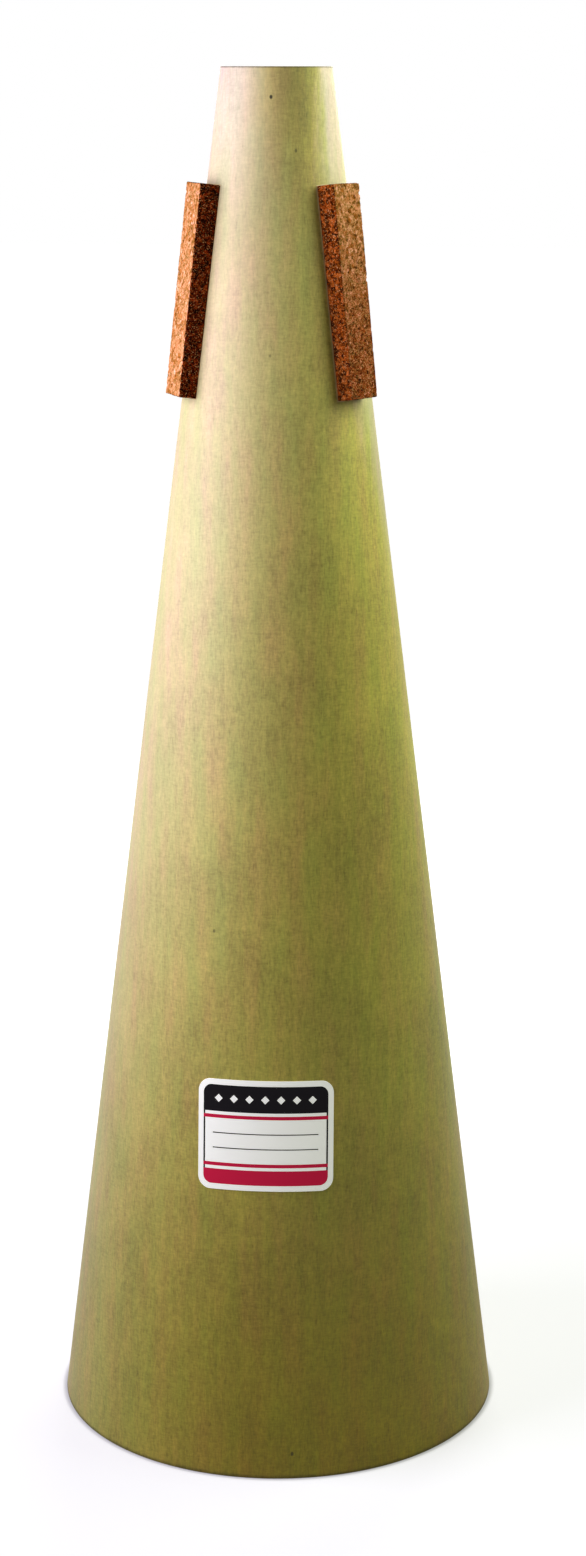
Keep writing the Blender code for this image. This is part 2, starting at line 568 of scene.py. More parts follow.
@dataclass(frozen=True)
class ConeForm:
    """The outside of the cone, on which every piece is laid out."""

    base_radius: float = 69.5 * MM
    mouth_radius: float = 16.5 * MM
    height: float = 420 * MM

    @property
    def half_angle(self) -> float:
        """The angle between the axis and the wall."""
        return math.atan((self.base_radius - self.mouth_radius) / self.height)

    @property
    def slant_length(self) -> float:
        """The length of the wall from the wide rim to the mouth."""
        return self.height / math.cos(self.half_angle)

    @property
    def to_apex(self) -> float:
        """The distance along the wall from the wide rim to the point where the cone would end."""
        return self.base_radius / math.sin(self.half_angle)

    def radius(self, height: float, lift: float = 0.0) -> float:
        """The outside radius at this height, or that of a surface lifted off it."""
        return (self.base_radius - height * math.tan(self.half_angle)
                + lift / math.cos(self.half_angle))

    def flat(self, azimuth: float, height: float) -> tuple[float, float]:
        """Where a point of the outside lies on the flat sheet.

        Args:
            azimuth: Its azimuth from the line where the grain runs straight up the wall.
            height: Its height.

        Returns:
            Its distance across and along.
        """
        slant = self.to_apex - height / math.cos(self.half_angle)
        turn = azimuth * math.sin(self.half_angle)
        return slant * math.sin(turn), self.to_apex - slant * math.cos(turn)


CONE = ConeForm()


@dataclass(frozen=True)
class Finish:
    """A finish with a name, whose material is built once."""

    name: str

    def material(self) -> bpy.types.Material:
        """The material, built the first time that it is asked for."""
        return bpy.data.materials.get(self.name) or self.build()

    def build(self) -> bpy.types.Material:
        """Builds the material."""
        raise NotImplementedError


@dataclass(frozen=True)
class PinKnot:
    """A tiny dark knot in the face veneer, as wide as a pin and a third longer up the grain."""

    azimuth: float
    height: float
    radius: float
    strength: float
    squash: float = 0.75
    core: float = 0.45


@dataclass(frozen=True)
class Sapwood:
    """Painted highlight: paler, bluer wood on both lit sides, whose borders open downwards, with
    painted shade in the middle at the mouth.

    On the left the blue comes in over a wide border, and near the mouth the rest over a narrow one.
    """

    tint: Colour
    mouth_tint: Colour
    # Painted shade in the middle of the front near the mouth.
    painted_shade_at_mouth: Colour
    mouth_reach: float = 55 * MM
    # How much fainter the grain is under the painted highlight.
    calm: float = 0.5
    left_at_mouth: float = 4 * MM
    left_curve: float = 0.62
    left_softness: float = 0.135
    left_mouth_softness: float = 0.040
    left_mouth_shift: float = 0.016
    right_at_mouth: float = 13.2 * MM
    right_curve: float = 1.86
    right_softness: float = 0.030
    back_limit: float = 0.235
    back_softness: float = 0.09
    waver: float = 0.07
    blue_delay: float = 1.6


class GrainPlace(Enum):
    """How a wooden surface finds which way its grain runs."""

    SHEET = "along the flat sheet that the cone is rolled from"
    UPRIGHT = "up the axis"
    ROUND = "round the axis"
    BOARD = "straight across a flat board"


@dataclass(frozen=True)
class GrainLayer:
    """One layer of noise in the wood, whose features have these sizes in millimetres."""

    across: float
    along: float
    seed: float
    strength: float = 0.0
    relief: float = 0.0
    detail: float = 3.0
    roughness: float = 0.6

    def drawn(self, graph: ShaderGraph, across: Field, along: Field) -> Field:
        """The layer's noise at this distance across and along the grain, in millimetres."""
        place = graph.vector(across / self.across, along / self.along, self.seed)
        return graph.noise(place, detail=self.detail, roughness=self.roughness)


@dataclass(frozen=True)
class Veneer(Finish):
    """A sliced and sanded wood surface, with grain, vessels, stains and pin knots."""

    BANDS = GrainLayer(2.4, 24.0, 3.1, 0.34, 0.3)
    FIBRES = GrainLayer(0.62, 2.6, 7.7, 0.70, 0.5, roughness=0.7)
    RIPPLE = GrainLayer(1.8, 0.55, 11.3, 0.50, 0.2, roughness=0.65)
    STAIN = GrainLayer(26.0, 36.0, 30.1, 0.38, roughness=0.55)
    GROWTH = GrainLayer(1.0, 160.0, 41.3, 0.26, detail=2.0)
    VESSELS = GrainLayer(0.42, 3.0, 17.9, -0.15, -0.6, detail=2.0, roughness=0.5)
    HUE = GrainLayer(6.0, 34.0, 31.7, detail=4.0, roughness=0.58)

    colour: Colour
    warm: Colour
    cool: Colour
    grain: GrainPlace = GrainPlace.SHEET
    roughness: float = 0.5
    specular: float = 0.35
    contrast: float = 1.0
    knots: tuple[PinKnot, ...] = ()
    grain_azimuth: float = math.radians(6)
    sapwood: Sapwood | None = None
    edge_tone: float = 0.0
    rim_width: float = 1.5 * MM
    rim_core: float = 0.2 * MM
    rim_waver: float = 0.9 * MM
    mouth_rim_share: float = 2.2
    foot_painted_shade: Colour | None = None
    foot_reach: float = 130 * MM
    foot_side: float = -70 * MM
    joint_azimuth: float = math.radians(20)
    arch_length: float = 15.0
    arch_bend: float = 2200.0
    arch_waver: float = 5.0
    relief: float = 0.035 * MM

    def build(self) -> bpy.types.Material:
        """Builds the material.

        Returns:
            A material whose grain follows the piece.
        """
        graph = ShaderGraph(self.name)
        across, along = self.grain_place(graph)
        x = across / MM
        y = along / MM
        bands, fibres, ripple, stain, pores, hue = (
            layer.drawn(graph, x, y) for layer in (
                self.BANDS, self.FIBRES, self.RIPPLE, self.STAIN, self.VESSELS, self.HUE))
        vessels = pores.step(0.60, 0.74)
        arch = y / self.arch_length + x * x / self.arch_bend + stain * self.arch_waver
        growth = self.GROWTH.drawn(graph, arch, x)
        tone: Term = 1.0 + vessels * (self.VESSELS.strength * self.contrast)
        relief: Term = vessels * self.VESSELS.relief
        for layer, noise in ((self.BANDS, bands), (self.FIBRES, fibres), (self.RIPPLE, ripple),
                             (self.STAIN, stain), (self.GROWTH, growth)):
            tone = tone + (noise - 0.5) * (layer.strength * self.contrast)
            if layer.relief:
                relief = relief + noise * layer.relief
        tinted = graph.blend(hue.step(0.46, 0.74), self.colour, self.warm)
        tinted = graph.blend(hue.step(0.54, 0.26), tinted, self.cool)
        if self.sapwood:
            # Painted highlight on the lit sides and at the mouth, with painted shade in the middle
            # at the mouth; the grain is fainter under the highlight.
            share, tint = self.sapwood_share(graph, across, along, hue)
            tinted = graph.dyed(tinted, tint)
            tone = 1.0 + (tone - 1.0) * (1.0 - share * self.sapwood.calm)
        # Darker rims; at the base partly painted shade where the rim meets the floor.
        if self.edge_tone:
            tone = tone * self.rim_tone(graph)
        # Painted shade: darker towards the base, on the front and the right.
        if self.foot_painted_shade:
            at_foot = along.step(self.foot_reach, 0.0)
            foot_shade_share = at_foot * across.step(self.foot_side, 0.0)
            tinted = graph.dyed(tinted, graph.blend(foot_shade_share, UNTINTED, self.foot_painted_shade))
        for knot in self.knots:
            tone = tone * self.knot_tone(knot, across, along)
        roughness = self.roughness + (bands - 0.5) * 0.10 + vessels * 0.12
        normal = graph.bump(relief, self.relief)
        return graph.finish(
            graph.scaled(tinted, tone), roughness, normal, Specular_IOR_Level=self.specular)

    def grain_place(self, graph: ShaderGraph) -> tuple[Field, Field]:
        """Across and along the grain.

        Args:
            graph: The material's graph.

        Returns:
            The two distances.
        """
        if self.grain is GrainPlace.SHEET:
            return graph.flat_place("sheet")
        x, y, z = graph.parts(graph.object_place())
        if self.grain is GrainPlace.UPRIGHT:
            return x + y, z
        if self.grain is GrainPlace.BOARD:
            return x, y + z
        turned = graph.node(
            "ShaderNodeVectorRotate",
            {"rotation_type": "Z_AXIS"},
            {"Vector": graph.object_place(), "Angle": math.pi - self.joint_azimuth},
        )
        around_x, around_y, _ = graph.parts(graph.out(turned))
        azimuth = graph.math("ARCTAN2", around_x, -around_y)
        return z, azimuth * CONE.radius(0.0)

    def sapwood_share(self, graph: ShaderGraph, across: Field, along: Field,
                      hue: Field) -> tuple[Field, Field]:
        """Where the highlight is painted, and the factor that paints it, with painted shade in the
        middle at the mouth.

        Args:
            graph: The material's graph.
            across: Across the flat sheet.
            along: Along the flat sheet.
            hue: The noise that makes the border wander.

        Returns:
            The painted highlight's share from 0 to 1, and the factor.
        """
        sapwood = self.sapwood
        below_mouth = CONE.slant_length - along
        opening = below_mouth * below_mouth
        to_apex = CONE.to_apex - along
        waver = (hue - 0.5) * sapwood.waver
        left = (across - sapwood.left_at_mouth + opening * sapwood.left_curve) / to_apex + waver
        right = (across - sapwood.right_at_mouth - opening * sapwood.right_curve) / to_apex + waver
        back = across / to_apex - sapwood.back_limit + waver
        near_mouth = below_mouth.step(sapwood.mouth_reach, 0.0)
        on_right = right.step(-sapwood.right_softness, sapwood.right_softness)
        at_back = back.step(-sapwood.back_softness, sapwood.back_softness)
        beyond = on_right.at_least(at_back)
        wide = left.step(sapwood.left_softness, -sapwood.left_softness)
        crispness = near_mouth * (sapwood.left_softness - sapwood.left_mouth_softness)
        crisp = (left + near_mouth * sapwood.left_mouth_shift) / (sapwood.left_softness - crispness)
        share = beyond.at_least(crisp.step(1.0, -1.0))
        tint = graph.blend(near_mouth, sapwood.tint, sapwood.mouth_tint)
        # Painted shade in the middle of the front near the mouth.
        midst = graph.blend(near_mouth, UNTINTED, sapwood.painted_shade_at_mouth)
        red, green, _ = graph.parts(graph.blend(share, midst, tint))
        late_share = beyond.at_least(wide).power(1.0 + near_mouth * sapwood.blue_delay)
        _, _, blue = graph.parts(graph.blend(late_share, midst, tint))
        return share, graph.vector(red, green, blue)

    def rim_tone(self, graph: ShaderGraph) -> Field:
        """The darker tone at each rim, a millimetre up from the base and less below the mouth; at
        the base it is partly painted shade where the rim meets the floor.

        Args:
            graph: The material's graph.

        Returns:
            A factor for the colour.
        """
        place = graph.object_place()
        _, _, z = graph.parts(place)
        waver = (graph.noise(place, 1 / (2.5 * MM)) - 0.5) * self.rim_waver
        from_rim = z.at_most((CONE.height - z) * self.mouth_rim_share) + waver
        return 1.0 - from_rim.step(self.rim_width, self.rim_core) * self.edge_tone

    def knot_tone(self, knot: PinKnot, across: Field, along: Field) -> Field:
        """The tone of the wood in and round one pin knot.

        Args:
            knot: The knot.
            across: Across the flat sheet.
            along: Along the flat sheet.

        Returns:
            A factor for the colour.
        """
        knot_across, knot_along = CONE.flat(knot.azimuth - self.grain_azimuth, knot.height)
        x = across - knot_across
        y = (along - knot_along) * knot.squash
        distance = (x * x + y * y).root()
        midst = distance.step(knot.radius, knot.radius * knot.core)
        return 1.0 - midst * knot.strength


@dataclass(frozen=True)
class PlyEdge(Finish):
    """The sanded edge of thin plywood: two face plies and a core whose grain runs across."""

    face_ply: Colour
    core_ply: Colour
    glue: Colour
    thickness: float
    flat_board: bool = False
    core_half: float = 0.19
    line_reach: float = 0.030
    line_core: float = 0.012
    line_strength: float = 0.75
    waver: float = 0.05
    relief: float = 0.06 * MM

    def build(self) -> bpy.types.Material:
        """Builds the material.

        Returns:
            A material whose layers are counted from the outside of the wall or board.
        """
        graph = ShaderGraph(self.name)
        place = graph.object_place()
        x, y, z = graph.parts(place)
        if self.flat_board:
            depth = z - BaseDisc.recess
        else:
            radius = (x * x + y * y).root()
            outside = CONE.base_radius - z * math.tan(CONE.half_angle)
            depth = (outside - radius) * math.cos(CONE.half_angle)
        waver = (graph.noise(place, 1 / (4 * MM)) - 0.5) * self.waver
        share = depth / self.thickness + waver
        from_middle = abs(share - 0.5)
        core = from_middle.step(self.core_half + 0.015, self.core_half - 0.015)
        line = abs(from_middle - self.core_half).step(self.line_reach, self.line_core)
        fuzz = graph.noise(place, 1 / (0.35 * MM), 3.0, 0.6)
        colour = graph.blend(core, self.face_ply, self.core_ply)
        colour = graph.blend(line * self.line_strength, colour, self.glue)
        colour = graph.scaled(colour, 0.75 + fuzz * 0.5)
        return graph.finish(
            colour, 0.62, graph.bump(fuzz + core * 0.3, self.relief), Specular_IOR_Level=0.3)


@dataclass(frozen=True)
class GranulatedCork(Finish):
    """Cork granules pressed together with a dark binder, sanded outside and knife-cut elsewhere."""

    name: str = "granulated_cork"
    light: Colour = (0.48, 0.238, 0.088)
    middle: Colour = (0.405, 0.178, 0.052)
    dark: Colour = (0.29, 0.098, 0.012)
    binder: Colour = (0.055, 0.012, 0.001)
    cut: Colour = (0.49, 0.240, 0.045)
    soil: Colour = (0.37, 0.12, 0.00)
    shade_strength: float = 0.88
    shade_on_cut: float = 1.30
    grit_strength: float = 1.05
    grit_on_cut: float = 1.20
    gap_share: float = 0.16
    gap_share_on_cut: float = 0.44
    bark_share: float = 0.55
    pore_share: float = 0.45
    relief: float = 0.14 * MM

    def build(self) -> bpy.types.Material:
        """Builds the material.

        Returns:
            A material whose granules are those of the mesh.
        """
        graph = ShaderGraph(self.name)
        place = graph.attribute("granules", "Vector")
        sanded = graph.attribute("sanded")
        own = graph.cells(place, "F1", "Color")
        pick, shade, kind = graph.parts(own)
        border = graph.cells(place, "DISTANCE_TO_EDGE", "Distance")
        crumbs = graph.noise(place, 3.6, 3.0, 0.7)
        pores = graph.noise(place, 9.0, 2.0, 0.6)
        colour = graph.blend(pick.step(0.05, 0.45), self.dark, self.middle)
        colour = graph.blend(pick.step(0.50, 0.95), colour, self.light)
        rough_cut = 1.0 - sanded
        grit = graph.noise(place, 1.7, 3.0, 0.7).step(0.36, 0.64) - 0.5
        glints = graph.noise(place, 2.4, 2.0, 0.6).step(0.60, 0.65)
        soiled = graph.attribute("soiled")
        mottle = (shade - 0.5) * (self.shade_strength + rough_cut * self.shade_on_cut)
        mottle = mottle + grit * (self.grit_strength + rough_cut * self.grit_on_cut)
        # The granules' contrast grows where shade is painted.
        speckle = (1.0 + mottle * (0.80 + soiled * 0.36)).at_least(0.1)
        colour = graph.dyed(colour, graph.vector(speckle, speckle, speckle * speckle))
        gap = (border + (crumbs - 0.5) * 0.14).step(0.085, 0.0)
        bark = kind.step(0.93, 0.98) * crumbs.step(0.46, 0.58)
        hollow = pores.step(0.66, 0.73)
        crack = gap * (self.gap_share + rough_cut * self.gap_share_on_cut)
        dark_share = crack.at_least((bark * self.bark_share).at_least(hollow * self.pore_share))
        colour = graph.blend(dark_share, colour, self.binder)
        # The knife-cut faces get a darker tint: partly the cut cork's own colour, partly painted
        # shade on the strip's sides.
        colour = graph.dyed(colour, graph.blend(sanded, self.cut, UNTINTED))
        # Painted shade, which spares some granule tops as lighter specks.
        spared_specks = graph.noise(place, 2.9, 3.0, 0.7).step(0.48, 0.60)
        shade_cover = soiled * (1.0 - spared_specks * 0.85)
        colour = graph.dyed(colour, graph.blend(shade_cover, UNTINTED, self.soil))
        colour = graph.blend(glints * (0.50 + rough_cut * 0.45), colour, self.light)
        relief = (border * 4.0).at_most(1.0) * 0.5 + pores * 0.4 - hollow * 0.5
        relief = relief * (0.45 + rough_cut * 0.55)
        return graph.finish(
            colour, 0.80, graph.bump(relief, self.relief), Specular_IOR_Level=0.02)


@dataclass(frozen=True)
class DriedGlue(Finish):
    """Glue that has been squeezed out of a joint and has dried."""

    name: str = "dried_glue"
    colour: Colour = (0.46, 0.34, 0.12)
    relief: float = 0.08 * MM

    def build(self) -> bpy.types.Material:
        """Builds the material.

        Returns:
            A slightly glossy amber material.
        """
        graph = ShaderGraph(self.name)
        place = graph.object_place()
        cloud = graph.noise(place, 1 / (3 * MM), 3.0)
        fine = graph.noise(place, 1 / (0.5 * MM))
        colour = graph.scaled(self.colour, 0.7 + cloud * 0.6)
        return graph.finish(
            colour, 0.30 + fine * 0.2, graph.bump(cloud * 0.6 + fine * 0.4, self.relief),
            Specular_IOR_Level=0.4)


@dataclass(frozen=True)
class PrintedPaper(Finish):
    """Coated paper with a plain printed form: two bands, two stripes, a border and writing lines.

    The paper gives off a little of its own colour: a painted glow that makes it brighter than real
    paper.
    """

    width: float
    height: float
    corner_radius: float
    paper: Colour = (0.95, 0.97, 0.84)
    red: Colour = (0.50, 0.012, 0.045)
    black: Colour = (0.006, 0.005, 0.006)
    margin: float = 1.7 * MM
    corner_share: float = 0.8
    band: float = 8.2 * MM
    foot_band: float = 4.6 * MM
    border_line: float = 0.55 * MM
    rule_line: float = 0.34 * MM
    rule_spacing: float = 4.6 * MM
    stripe_line: float = 1.1 * MM
    stripe_inset: float = 1.5 * MM
    diamond_spacing: float = 4.8 * MM
    diamond_half: float = 1.25 * MM
    softness: float = 0.05 * MM
    rule_inset: float = 3.0 * MM
    ink_waver: float = 0.05 * MM
    wear_strength: float = 0.55
    brightener: float = 0.30
    relief: float = 0.012 * MM

    def build(self) -> bpy.types.Material:
        """Builds the material.

        Returns:
            A material that prints the form on the label's own UV map, centred on it.
        """
        graph = ShaderGraph(self.name)
        across, along = graph.flat_place("sheet")
        place = graph.vector(across, along)
        waver = (graph.noise(place, 1 / (0.6 * MM)) - 0.5) * self.ink_waver
        inside = self.rounded_box(across, along) + waver
        field_share = self.within(inside, 0.0)
        top = self.height / 2 - self.margin
        band_foot = top - self.band
        foot_top = -top + self.foot_band
        red_band = self.within(along + waver, foot_top)
        black_band = (along + waver).step(band_foot - self.softness, band_foot + self.softness)
        diamonds = self.diamonds(across, along, top - self.band / 2)
        border = self.within(abs(inside + self.border_line / 2), self.border_line / 2)
        middle = (band_foot + foot_top) / 2
        rules = self.two_lines(along - middle, self.rule_spacing, self.rule_line)
        reach = self.width / 2 - self.margin - self.rule_inset
        rules = rules * abs(across).step(reach, reach - self.softness)
        stripe_spacing = band_foot - foot_top - 2 * self.stripe_inset
        stripes = self.two_lines(along - middle, stripe_spacing, self.stripe_line)
        red_share = red_band.at_least(stripes)
        wear = graph.noise(place, 1 / (1.3 * MM), 5.0, 0.75).step(0.30, 0.24)
        ink = 1.0 - wear * self.wear_strength
        shade = 0.96 + graph.noise(place, 1 / (9 * MM), 3.0) * 0.08
        colour = graph.scaled(self.paper, shade)
        colour = graph.blend(border.at_least(rules) * ink, colour, self.black)
        colour = graph.blend(field_share * red_share * ink, colour, self.red)
        colour = graph.blend(field_share * black_band * (1.0 - diamonds) * ink, colour, self.black)
        fibre = graph.noise(place, 1 / (0.25 * MM), 3.0, 0.6)
        # The painted glow lifts the paper above what the lamps give.
        return graph.finish(
            colour, 0.40 + fibre * 0.12, graph.bump(fibre, self.relief), Specular_IOR_Level=0.06,
            Emission_Color=colour, Emission_Strength=self.brightener)

    def within(self, distance: Field, limit: float) -> Field:
        """1 where the distance is below the limit and 0 above it, with the ink's soft edge."""
        return distance.step(limit + self.softness, limit - self.softness)

    def rounded_box(self, across: Field, along: Field) -> Field:
        """The distance out from the printed border, negative inside it.

        Args:
            across: Across the label from its centre.
            along: Along the label from its centre.

        Returns:
            The distance.
        """
        radius = self.corner_radius - self.margin * self.corner_share
        x = abs(across) - (self.width / 2 - self.margin - radius)
        y = abs(along) - (self.height / 2 - self.margin - radius)
        corner_x = x.at_least(0.0)
        corner_y = y.at_least(0.0)
        corner = (corner_x * corner_x + corner_y * corner_y).root()
        return corner + x.at_least(y).at_most(0.0) - radius

    def diamonds(self, across: Field, along: Field, row: float) -> Field:
        """A row of small diamonds left bare in the band.

        Args:
            across: Across the label from its centre.
            along: Along the label from its centre.
            row: How far above the centre the row is.

        Returns:
            1 in a diamond and 0 outside.
        """
        spacing = self.diamond_spacing
        turn = abs(across / spacing - (across / spacing).nearest())
        taxicab = turn * spacing + abs(along - row)
        shape = self.within(taxicab, self.diamond_half)
        inner = self.width / 2 - self.margin - spacing * 0.75
        return shape * abs(across).step(inner, inner - self.softness)

    def two_lines(self, up: Field, spacing: float, line: float) -> Field:
        """Two level lines, one above and one below a middle.

        Args:
            up: How far above the middle a point is.
            spacing: The distance between the lines.
            line: How thick they are.

        Returns:
            1 on a line and 0 off it.
        """
        from_line = abs(abs(up) - spacing / 2)
        return self.within(from_line, line / 2)


FACE = Veneer(
    name="birch_face_veneer",
    colour=(0.440, 0.378, 0.059),
    warm=(0.474, 0.350, 0.069),
    cool=(0.398, 0.385, 0.052),
    roughness=0.58,
    specular=0.35,
    contrast=1.50,
    # Painted highlight on the lit sides and at the mouth, painted shade in the middle at the mouth.
    sapwood=Sapwood(
        tint=(0.985, 1.005, 2.90),
        mouth_tint=(1.25, 1.165, 5.20),
        painted_shade_at_mouth=(0.60, 0.61, 0.45),
    ),
    edge_tone=0.60,
    # Painted shade towards the base.
    foot_painted_shade=(0.74, 0.66, 0.30),
    knots=(
        PinKnot(math.radians(3.7), 411.4 * MM, 0.62 * MM, 0.93),
        PinKnot(math.radians(25.6), 396.2 * MM, 0.55 * MM, 0.60),
        PinKnot(math.radians(4.7), 337.9 * MM, 0.45 * MM, 0.45),
        PinKnot(math.radians(-14.3), 167.8 * MM, 0.55 * MM, 0.55),
        PinKnot(math.radians(12.5), 7.8 * MM, 0.65 * MM, 0.75),
    ),
)
BACK = Veneer(
    name="birch_back_veneer",
    colour=(0.560, 0.440, 0.210),
    warm=(0.580, 0.420, 0.210),
    cool=(0.520, 0.440, 0.200),
    roughness=0.68,
    specular=0.25,
    contrast=1.25,
)
STRAP = Veneer(
    name="strap_veneer",
    colour=(0.530, 0.400, 0.200),
    warm=(0.550, 0.380, 0.190),
    cool=(0.500, 0.400, 0.200),
    grain=GrainPlace.UPRIGHT,
    roughness=0.66,
    specular=0.25,
)
HOOP = Veneer(
    name="bent_ash",
    colour=(0.480, 0.340, 0.170),
    warm=(0.500, 0.320, 0.150),
    cool=(0.450, 0.340, 0.170),
    grain=GrainPlace.ROUND,
    roughness=0.62,
    specular=0.28,
    contrast=1.6,
)
BOARD = Veneer(
    name="birch_disc_plywood",
    colour=(0.560, 0.450, 0.230),
    warm=(0.580, 0.430, 0.220),
    cool=(0.520, 0.440, 0.220),
    grain=GrainPlace.BOARD,
    roughness=0.58,
    specular=0.28,
    contrast=1.3,
)
WALL_EDGE = PlyEdge(
    name="birch_wall_edge",
    face_ply=(0.500, 0.400, 0.150),
    core_ply=(0.330, 0.230, 0.090),
    glue=(0.100, 0.060, 0.025),
    thickness=1.5 * MM,
)
BOARD_EDGE = PlyEdge(
    name="birch_disc_edge",
    face_ply=(0.500, 0.400, 0.180),
    core_ply=(0.330, 0.230, 0.100),
    glue=(0.100, 0.060, 0.025),
    thickness=4.0 * MM,
    flat_board=True,
)
CORK = GranulatedCork()
GLUE = DriedGlue()


@dataclass
class RolledWall:
    """The plywood sheet rolled to a cone, with the glue that fills its butt seam."""

    OUTERMOST = 0.4999
    UNDULATION_LENGTH = 34 * MM
    thickness: float = 1.5 * MM
    easing: float = 0.20 * MM
    seam_easing: float = 0.05 * MM
    seam_azimuth: float = math.radians(240)
    seam_gap: float = 0.12 * MM
    seam_glue_below: float = 0.04 * MM
    seam_glue_inset: float = 0.1 * MM
    seam_glue_waver: float = 0.02 * MM
    seam_glue_share: float = 1.1
    undulation: float = 0.05 * MM
    columns: int = 300
    rows: int = 120
    seed: float = 4.0

    @staticmethod
    def rolled_sheet(graph: GeometryGraph) -> bpy.types.NodeTree:
        """Rolls a flat sheet of plywood to the cone.

        The sheet is a slab of unit size: x runs round the cone, y up it and z through the wall.
        Its two level ends are the rims, and its two others meet at the seam.

        Args:
            graph: The tree.

        Returns:
            The tree, which gives the wall with its flat UV map and the weights of its edges.
        """
        slab = graph.node("GeometryNodeMeshCube", {}, {
            "Size": (1.0, 1.0, 1.0),
            "Vertices X": graph.given("Columns"),
            "Vertices Y": graph.given("Rows"),
            "Vertices Z": 2,
        })
        around, up, through = graph.parts(graph.position())
        half_angle = graph.given("Half Angle")
        sine = half_angle.sine()
        height = graph.given("Height") * (up + 0.5)
        outside = graph.given("Base Radius") - height * half_angle.tangent()
        wall = graph.given("Thickness") / half_angle.cosine()
        radius = outside - wall * (0.5 - through)
        half_turn = math.pi - graph.given("Seam Gap") / 2 / outside
        azimuth = graph.given("Seam Azimuth") - math.pi + around * 2 * half_turn
        rolled = graph.vector(
            azimuth.sine() * radius, -azimuth.cosine() * radius, height)
        slant = outside / sine
        turn = (azimuth - graph.given("Grain Azimuth")) * sine
        flat = graph.vector(
            slant * turn.sine(),
            graph.given("Base Radius") / sine - slant * turn.cosine(),
        )
        _, _, facing = graph.parts(graph.normal())
        at_seam, at_rim, at_face = (
            abs(place).above(RolledWall.OUTERMOST) for place in (around, up, through))
        seam_share = graph.given("Seam Easing") / graph.given("Easing")
        weight = at_face * at_rim.at_least(at_seam * seam_share)
        mesh = graph.stored(graph.out(slab, "Mesh"), "sheet", "FLOAT2", "CORNER", flat)
        mesh = graph.stored(mesh, "facing", "FLOAT", "FACE", facing)
        mesh = graph.stored(mesh, "bevel_weight_edge", "FLOAT", "EDGE", weight)
        mesh = graph.moved(mesh, position=rolled)
        seed = graph.vector(0.0, 0.0, graph.given("Seed"))
        place = graph.vector_math("ADD", graph.position(), seed)
        swell = graph.noise(place, 1 / RolledWall.UNDULATION_LENGTH) - 0.5
        swell = swell * 2 * graph.given("Undulation")
        mesh = graph.moved(mesh, offset=graph.scaled(graph.normal(), swell))
        facing = graph.kept("facing")
        return graph.close(
            mesh,
            Inside_Material=facing.below(-0.5),
            Edge_Material=abs(facing).below(0.5),
        )

    def build(self) -> list[bpy.types.Object]:
        """Makes and dresses the wall and its seam glue.

        Returns:
            The two pieces.
        """
        mesh = grown("cone_sheet", self.rolled_sheet, {
            **numbers(self),
            "Grain Azimuth": FACE.grain_azimuth,
            "Material": FACE.material(),
            "Inside Material": BACK.material(),
            "Edge Material": WALL_EDGE.material(),
        })
        wall = add_object("cone_sheet", mesh)
        easing = wall.modifiers.new("eased_edges", "BEVEL")
        easing.width = self.easing
        easing.segments = 3
        easing.limit_method = "WEIGHT"
        easing.harden_normals = True
        wall = add_object("rolled_cone", plain_mesh(wall, "rolled_cone"))
        return [finished(wall, "face_veneer", "cone_wall"), self.seam_glue()]

    def seam_glue(self) -> bpy.types.Object:
        """The thin line of dried glue in the seam, a little below the surface.

        Returns:
            The piece.
        """
        line = WrappedPatch(
            name="seam_glue",
            azimuth=self.seam_azimuth,
            middle=CONE.slant_length / 2,
            width=self.seam_gap * self.seam_glue_share,
            height=CONE.slant_length - 2 * (self.easing + self.seam_glue_inset),
            lift=self.seam_glue_inset - self.thickness,
            thickness=self.thickness - self.seam_glue_inset - self.seam_glue_below,
            waver=self.seam_glue_waver,
            columns=3,
            rows=240,
        )
        return finished(line.build(GLUE), None)


